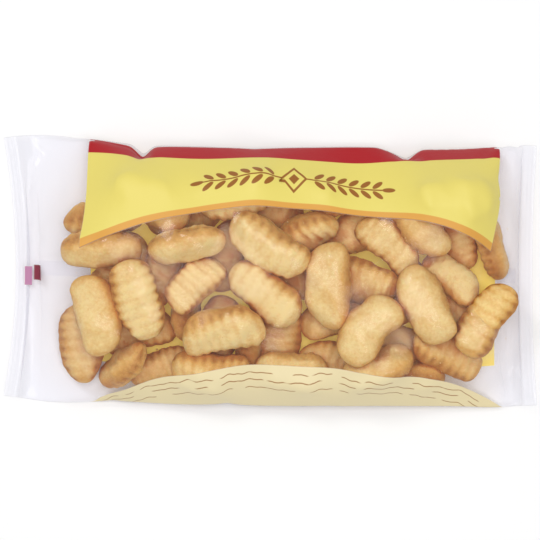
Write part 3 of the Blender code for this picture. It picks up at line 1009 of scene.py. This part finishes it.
def film_material():
    sizes = settings("madeleine_film")
    made, nodes, shader = new_material("printed_film")
    tree = made.node_tree
    colour, cover = print_nodes(nodes)
    place = nodes.add("TexCoord", output=3)
    broad = nodes.noise(34, 2, 0.5, place)
    sharp = nodes.math("ABSOLUTE", nodes.math("SUBTRACT", nodes.noise(70, 2, 0.55, place), 0.5))
    fine = nodes.noise(260, 2, 0.5, place)
    relief = nodes.math("MULTIPLY_ADD", sharp, -1.6, broad)
    relief = nodes.math("MULTIPLY_ADD", fine, 0.04, relief)
    long_way = nodes.math("MULTIPLY", nodes.mark("flat_along"), 26.0)
    streaks = nodes.noise(1.0, 2, 0.5, nodes.add("CombineXYZ", long_way, nodes.math("MULTIPLY", nodes.mark("flat_up"), 330.0)))
    edge_share = nodes.math("DIVIDE", nodes.math("ABSOLUTE", nodes.mark("flat_up")), sizes.flat_width / 2)
    relief = nodes.math("MULTIPLY_ADD", streaks, nodes.math("MULTIPLY", nodes.math("POWER", edge_share, 12.0), 1.2), relief)
    bump = nodes.add("Bump", 0.14, 0.0016).node
    nodes.put(bump.inputs["Height"], relief)
    nodes.put(shader.inputs["Normal"], bump.outputs[0])
    slant = nodes.add("LayerWeight", 0.5, bump.outputs[0], output=1)
    gloss = nodes.math("MULTIPLY_ADD", nodes.math("POWER", slant, 3.0), 0.45, 0.026 + sizes.haze)
    gloss = nodes.math("MINIMUM", gloss, 0.22)
    see = nodes.math("MAXIMUM", cover, gloss)
    # Painted light: the inner side of the back film's print gets a brighter yellow, standing in for light shining in
    # from outside the bag
    inside = nodes.math("MULTIPLY", nodes.add("NewGeometry", output=6), nodes.under(nodes.mark("front"), 0.3, 0.1))
    colour = nodes.mix(inside, colour, opaque(PAINTED_LIGHT_PANEL))
    nodes.put(shader.inputs["Base Color"], nodes.mix(cover, opaque((0.95, 0.94, 0.97)), colour))
    nodes.put(shader.inputs["Metallic"], nodes.math("MULTIPLY_ADD", cover, -0.4, 0.4))
    # Painted light: the printed ink glows faintly in its own colour on its inner side, standing in for light shining in
    # from outside the bag
    painted_inner_glow = nodes.math("MULTIPLY", nodes.add("NewGeometry", output=6), cover)
    nodes.put(shader.inputs["Emission Color"], nodes.mix(painted_inner_glow, opaque((0, 0, 0)), colour))
    shader.inputs["Emission Strength"].default_value = 0.18
    nodes.put(shader.inputs["Roughness"], nodes.math("MULTIPLY_ADD", cover, 0.36, 0.13))
    set_inputs(shader, Specular_IOR_Level=0.3)
    clear = tree.nodes.new("ShaderNodeBsdfTransparent")
    clear.inputs["Color"].default_value = opaque(CLEAR_TINT)
    blend = tree.nodes.new("ShaderNodeMixShader")
    nodes.put(blend.inputs[0], see)
    nodes.put(blend.inputs[1], clear.outputs[0])
    nodes.put(blend.inputs[2], shader.outputs[0])
    nodes.put(tree.nodes["Material Output"].inputs["Surface"], blend.outputs[0])
    return made


class MADELEINE_OT_cakes(bpy.types.Operator):
    """Settle the cakes in the bag and model each with its ribbed and its domed side."""

    bl_idname = "madeleine.cakes"
    bl_label = "Cakes"

    def execute(self, context):
        laid = SHOWN_CAKES + HIDDEN_CAKES
        cakes = [Cake(entry, index) for index, entry in enumerate(laid)]
        worst = settle(cakes)
        print("settled, overlap mm", worst * 1000)
        crust = crust_material()
        kinds = {name: [] for name in CAKE_PIECES}
        for cake in cakes:
            up = cake.turn[2, 2]
            kind = "ribs_up_cakes" if up > 0.7 else "dome_up_cakes" if up < -0.7 else "side_cakes"
            kinds[kind].append(cake)
        for name, group in kinds.items():
            piece = join_cakes(name, group)
            piece.data.materials.append(crust)
            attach(piece, "root")
            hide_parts("bag")
        mark_painted_nook_shade([bpy.data.objects[name] for name in CAKE_PIECES])
        return {"FINISHED"}


def heap_tree():
    """The cakes as one tree of faces to measure distances from."""
    points, faces = [], []
    for name in CAKE_PIECES:
        mesh = bpy.data.objects[name].data
        start = len(points)
        points.extend(vert.co.copy() for vert in mesh.vertices)
        faces.extend([start + index for index in face.vertices] for face in mesh.polygons)
    return BVHTree.FromPolygons(points, faces), np.array(points)


def film_faces(film):
    """Faces of the whole tube, with both cut ends closed."""
    faces = ring_faces(film.columns, film.rows)[:, ::-1].tolist()
    last = (film.columns - 1) * film.rows
    for row in range(film.side_rows):
        for start, flip in ((0, True), (last, False)):
            loop = [start + r for r in (row, film.opposite[row], film.opposite[row + 1], row + 1)]
            loop = list(dict.fromkeys(loop))
            faces.append(loop[::-1] if flip else loop)
    return faces


def smoothed(piece):
    """The piece with one level of subdivision made part of its mesh."""
    smooth = piece.modifiers.new("smooth", "SUBSURF")
    smooth.levels = smooth.render_levels = 1
    made = bpy.data.meshes.new_from_object(piece.evaluated_get(bpy.context.evaluated_depsgraph_get()))
    piece.modifiers.clear()
    piece.data = made
    made.shade_smooth()


def lift_off(piece, tree, reach):
    """Move the piece's points out of the cakes to at least this distance from them."""
    moved = 0
    for vert in piece.data.vertices:
        nearest, normal, _, apart = tree.find_nearest(vert.co, 0.01)
        if nearest is None:
            continue
        if (vert.co - nearest).dot(normal) < 0:
            apart = -apart
        if apart < reach:
            vert.co = nearest + reach * normal
            moved += 1
    return moved


def marks_of(film, rows):
    """Where each point of these rows lies on the flat film, and on which side."""
    side = np.where(film.is_front, 1.0, np.where(film.is_back, 0.0, 0.5))
    shape = (film.columns, len(rows))
    return {
        "flat_along": np.broadcast_to(film.flat_along[:, None], shape),
        "flat_up": np.broadcast_to(film.flat_up[None, rows], shape),
        "front": np.broadcast_to(side[None, rows], shape),
    }


def mark_painted_nook_shade(pieces):
    """Mark how shut in each point of the crust is by the cakes around it, for the painted shade in the nooks between
    them.
    """
    tree, _ = heap_tree()
    draw = random.Random(3)
    ways = []
    while len(ways) < NOOK_RAYS:
        way = Vector([draw.gauss(0, 1) for _ in range(3)]).normalized()
        ways.append(way)
    for piece in pieces:
        mesh = piece.data
        shut = []
        for vert in mesh.vertices:
            start = vert.co + 0.0006 * vert.normal
            hits = 0
            for way in ways:
                out = way if way.dot(vert.normal) > 0 else -way
                hits += tree.ray_cast(start, (out + 0.6 * vert.normal).normalized(), NOOK_REACH)[0] is not None
            shut.append(hits / NOOK_RAYS)
        mesh.attributes.new("painted_nook_shade", "FLOAT", "POINT").data.foreach_set("value", shut)


NOOK_RAYS = 7
NOOK_REACH = 0.022


def dress_film(piece, material):
    piece.data.materials.append(material)
    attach(piece, "root")
    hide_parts("bag")


class MADELEINE_OT_film(bpy.types.Operator):
    """Let a sealed tube of clear film down over the cakes, and lay its back seam flat."""

    bl_idname = "madeleine.film"
    bl_label = "Film"

    def execute(self, context):
        sizes = settings("madeleine_film")
        tree, points = heap_tree()
        field = SolidField(tree, points.min(axis=0), points.max(axis=0))
        film = None
        for coarseness, rounds in DRAPE_STAGES:
            film = Film(coarseness, film)
            film.drape(field, rounds)
        film.ease_ends()
        film.pinch()
        film.press_creases()
        film.clear(field)
        film.keep_apart()
        film.crimp(sizes.ridge_height, sizes.ridges)
        every_row = np.arange(film.rows)
        material = film_material()
        piece = new_piece("film", film.points.reshape(-1, 3), film_faces(film), marks_of(film, every_row))
        smoothed(piece)
        print("lifted", lift_off(piece, tree, FILM_GAP))
        dress_film(piece, material)
        low, high = film.points.min(axis=(0, 1)), film.points.max(axis=(0, 1))
        print("film box", low, high)
        rows = film.side_rows + film.side_rows // 2 + np.arange(-BACK_SEAM_ROWS, BACK_SEAM_ROWS + 1)
        columns = slice(SEAL_COLUMNS + BACK_SEAM_START, film.columns - SEAL_COLUMNS - BACK_SEAM_START)
        strip = (film.points + BACK_SEAM_DROP * film.outward())[columns, rows]
        faces = [
            (c * len(rows) + r, (c + 1) * len(rows) + r, (c + 1) * len(rows) + r + 1, c * len(rows) + r + 1)
            for c in range(len(strip) - 1)
            for r in range(len(rows) - 1)
        ]
        marks = {name: values[columns] for name, values in marks_of(film, rows).items()}
        seam = new_piece("back_seam", strip.reshape(-1, 3), faces, marks)
        dress_film(seam, material)
        return {"FINISHED"}


FILM_GAP = 0.0004
BACK_SEAM_ROWS = 2  # on each side of the bag's middle line
BACK_SEAM_DROP = 0.0002
BACK_SEAM_START = 4  # columns in from each end seal


def add_crumb(mesh, spot, size, draw):
    """One uneven crumb."""
    made = bmesh.ops.create_icosphere(mesh, subdivisions=2, radius=size)["verts"]
    squash = Vector((draw.uniform(0.8, 1.3), draw.uniform(0.7, 1.1), draw.uniform(0.6, 0.8)))
    for vert in made:
        vert.co = Vector([c * k * draw.uniform(0.85, 1.1) for c, k in zip(vert.co, squash)]) + spot


class MADELEINE_OT_crumbs(bpy.types.Operator):
    """Scatter crumbs in the gaps between the cakes and let some cling to the film."""

    bl_idname = "madeleine.crumbs"
    bl_label = "Crumbs"

    def execute(self, context):
        sizes = settings("madeleine_cakes")
        draw = random.Random(7)
        tree, _ = heap_tree()
        mesh = bmesh.new()
        placed = 0
        while placed < sizes.crumbs:
            size = 0.0005 + 0.0011 * draw.random() ** 2
            spot = Vector((draw.uniform(HEAP_LOW[0], HEAP_HIGH[0]), draw.uniform(HEAP_LOW[1], HEAP_HIGH[1]), 0))
            spot.z = BACK_FILM_TOP + size * 0.8
            nearest, normal, _, apart = tree.find_nearest(spot)
            if not 1.5 * size < apart < CRUMB_REACH or (spot - nearest).dot(normal) < 0:
                continue
            add_crumb(mesh, spot, size, draw)
            placed += 1
        film = bpy.data.objects["film"].data
        front = film.attributes["front"].data
        placed = 0
        while placed < sizes.clinging_crumbs:
            index = draw.randrange(len(film.vertices))
            vert = film.vertices[index]
            size = draw.uniform(0.0002, 0.00045)
            inside = all(HEAP_LOW[axis] < vert.co[axis] < HEAP_HIGH[axis] for axis in (0, 1))
            if front[index].value < 0.9 or not inside:
                continue
            spot = vert.co - (size + 0.0001) * vert.normal
            nearest, normal, _, apart = tree.find_nearest(spot)
            if apart < size or (spot - nearest).dot(normal) < 0:
                continue
            add_crumb(mesh, spot, size, draw)
            placed += 1
        piece = bpy.data.objects.new("crumbs", bpy.data.meshes.new("crumbs"))
        mesh.to_mesh(piece.data)
        mesh.free()
        piece.data.shade_smooth()
        context.scene.collection.objects.link(piece)
        piece.data.materials.append(bpy.data.materials["madeleine_crust"])
        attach(piece, "root")
        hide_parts("bag")
        return {"FINISHED"}


BACK_FILM_TOP = 0.0006
CRUMB_REACH = 0.005  # how far from a cake crumbs lie


def area_light(name, place, aim, size, power):
    data = bpy.data.lights.new(name, "AREA")
    data.shape = "DISK"
    data.size = size
    data.energy = power
    light = bpy.data.objects.new(name, data)
    light.location = place
    light.rotation_euler = (Vector(aim) - Vector(place)).to_track_quat("-Z", "Y").to_euler()
    bpy.context.scene.collection.objects.link(light)
    return light


class MADELEINE_OT_stage(bpy.types.Operator):
    """Set up the pale floor, the soft lights and the camera over the bag."""

    bl_idname = "madeleine.stage"
    bl_label = "Stage"

    def execute(self, context):
        scene = context.scene
        bpy.ops.mesh.primitive_plane_add(size=6)
        floor = context.active_object
        floor.name = "floor"
        paint = bpy.data.materials.new("pale_floor")
        paint.use_nodes = True
        paint.node_tree.nodes["Principled BSDF"].inputs["Base Color"].default_value = (0.94, 0.94, 0.94, 1)
        paint.node_tree.nodes["Principled BSDF"].inputs["Roughness"].default_value = 0.8
        floor.data.materials.append(paint)
        world = bpy.data.worlds.new("studio")
        world.use_nodes = True
        world.node_tree.nodes["Background"].inputs["Color"].default_value = (1, 1, 1, 1)
        world.node_tree.nodes["Background"].inputs["Strength"].default_value = 0.46
        scene.world = world
        area_light("overhead", (0, 0.15, 2.6), (0, 0, 0), 1.6, 30)
        area_light("softbox", (-0.70, 0.90, 1.6), (0, 0, 0), 0.45, 6)
        area_light("fill", (0.50, -0.90, 1.6), (0, 0, 0), 0.6, 4)
        scene.view_settings.view_transform = "Standard"
        data = bpy.data.cameras.new("camera")
        camera = bpy.data.objects.new("camera", data)
        scene.collection.objects.link(camera)
        camera.location = (0, 0, 2.0)
        data.sensor_width = 36
        data.lens = 36 * (2.0 - DEPTH / 2) / (2 * HALF_LENGTH)
        scene.camera = camera
        return {"FINISHED"}


class MADELEINE_PT_panel(bpy.types.Panel):
    """Buttons and sizes of the bag of madeleines."""

    bl_label = "Madeleines"
    bl_space_type = "VIEW_3D"
    bl_region_type = "UI"
    bl_category = "Madeleines"

    def draw(self, context):
        for operator in OPERATORS:
            self.layout.operator(operator.bl_idname)


GROUPS = {"madeleine_cakes": CakeSettings, "madeleine_film": FilmSettings, "madeleine_print": PrintSettings}
OPERATORS = (MADELEINE_OT_cakes, MADELEINE_OT_film, MADELEINE_OT_crumbs, MADELEINE_OT_stage)


def register():
    for name, group in GROUPS.items():
        bpy.utils.register_class(group)
        setattr(bpy.types.Scene, name, PointerProperty(type=group))
    for cls in OPERATORS + (MADELEINE_PT_panel,):
        bpy.utils.register_class(cls)


def unregister():
    for cls in reversed(OPERATORS + (MADELEINE_PT_panel,)):
        bpy.utils.unregister_class(cls)
    for name, group in reversed(GROUPS.items()):
        delattr(bpy.types.Scene, name)
        bpy.utils.unregister_class(group)


def main():
    register()
    bpy.ops.madeleine.cakes()
    bpy.ops.madeleine.film()
    bpy.ops.madeleine.crumbs()
    bpy.ops.madeleine.stage()


if __name__ == "__main__":
    main()
